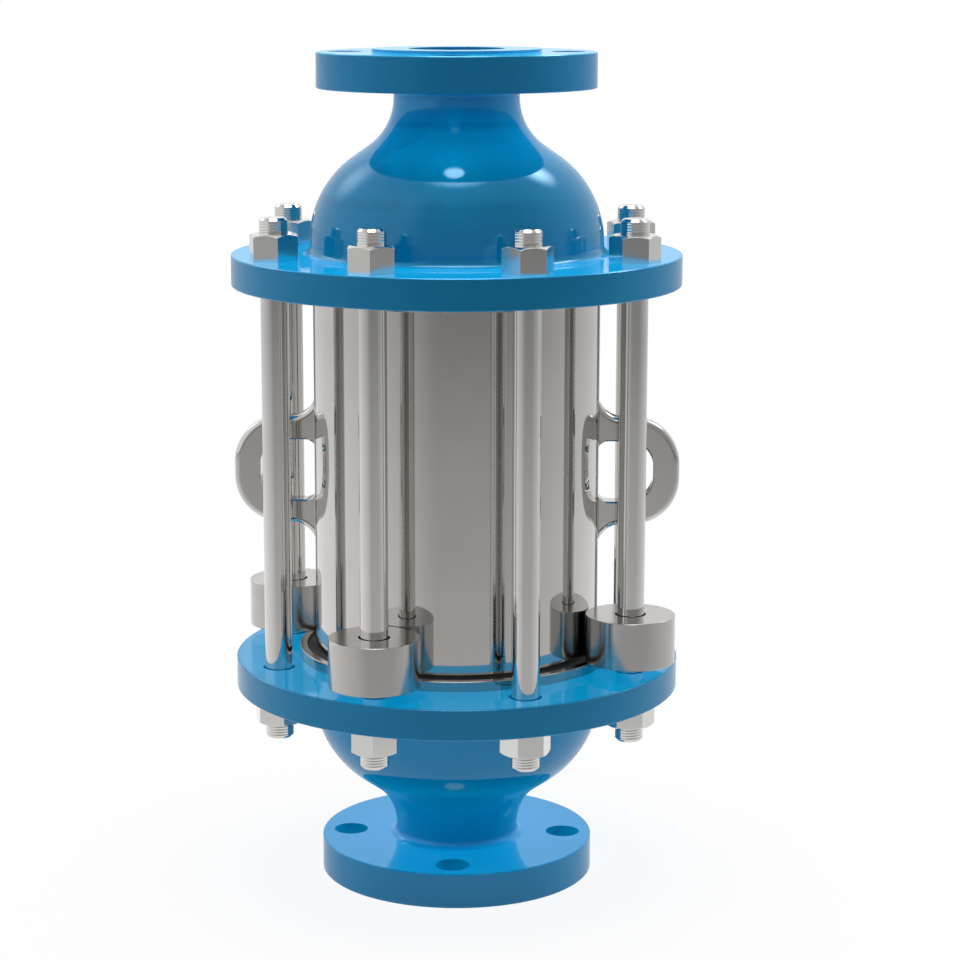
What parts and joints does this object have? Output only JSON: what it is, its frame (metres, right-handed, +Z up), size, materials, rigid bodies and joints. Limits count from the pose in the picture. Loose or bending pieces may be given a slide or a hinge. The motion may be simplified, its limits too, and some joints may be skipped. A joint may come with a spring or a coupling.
{
  "type": "flame arrestor",
  "caption": "Upright in-line flame arrestor: blue bell housings with pipe flanges, bolted by tie rods round a polished casing of crimped ribbon elements, with two lifting handles.",
  "frame": {"origin": "centre of the lower raised face, on the surface that the arrestor stands on", "axes": "+Z up along the pipe, the two lifting handles along X, and the picture's side towards -Y"},
  "size_m": [0.2468, 0.2468, 0.462],
  "materials": {
    "blue_enamel": "glossy blue enamel on a smooth casting",
    "polished_stainless": "polished stainless, nearly a mirror",
    "turned_stainless": "finely turned stainless",
    "plain_stainless": "plain mill finish",
    "ribbon_stainless": "rolled strip",
    "rod_steel": "bright drawn stainless bar",
    "nut_steel": "plain bright stainless",
    "graphite_packing": "dull black packing"
  },
  "bodies": {
    "root": {"upper_housing": "blue_enamel", "seat_ring_upper": "turned_stainless", "gasket_upper": "graphite_packing", "support_grid_upper": "plain_stainless", "element_band_upper": "plain_stainless", "element_core_upper": "plain_stainless", "flat_ribbon_upper": "ribbon_stainless", "crimped_ribbon_upper": "ribbon_stainless", "core_nut_upper": "plain_stainless", "lower_housing": "blue_enamel", "seat_ring_lower": "turned_stainless", "gasket_lower": "graphite_packing", "support_grid_lower": "plain_stainless", "element_band_lower": "plain_stainless", "element_core_lower": "plain_stainless", "flat_ribbon_lower": "ribbon_stainless", "crimped_ribbon_lower": "ribbon_stainless", "core_nut_lower": "plain_stainless", "element_spacer": "plain_stainless", "core_rod": "plain_stainless", "element_casing": "polished_stainless", "handle_left": "polished_stainless", "handle_right": "polished_stainless", "tie_rod_1": "rod_steel", "upper_nut_1": "nut_steel", "lower_nut_1": "nut_steel", "tie_rod_2": "rod_steel", "upper_nut_2": "nut_steel", "lower_nut_2": "nut_steel", "tie_rod_3": "rod_steel", "upper_nut_3": "nut_steel", "lower_nut_3": "nut_steel", "tie_rod_4": "rod_steel", "upper_nut_4": "nut_steel", "lower_nut_4": "nut_steel", "tie_rod_5": "rod_steel", "upper_nut_5": "nut_steel", "lower_nut_5": "nut_steel", "tie_rod_6": "rod_steel", "upper_nut_6": "nut_steel", "lower_nut_6": "nut_steel", "tie_rod_7": "rod_steel", "upper_nut_7": "nut_steel", "lower_nut_7": "nut_steel", "tie_rod_8": "rod_steel", "upper_nut_8": "nut_steel", "lower_nut_8": "nut_steel", "guide_collar_1": "turned_stainless", "guide_collar_2": "turned_stainless", "guide_collar_3": "turned_stainless", "guide_collar_4": "turned_stainless"}
  },
  "joints": []
}
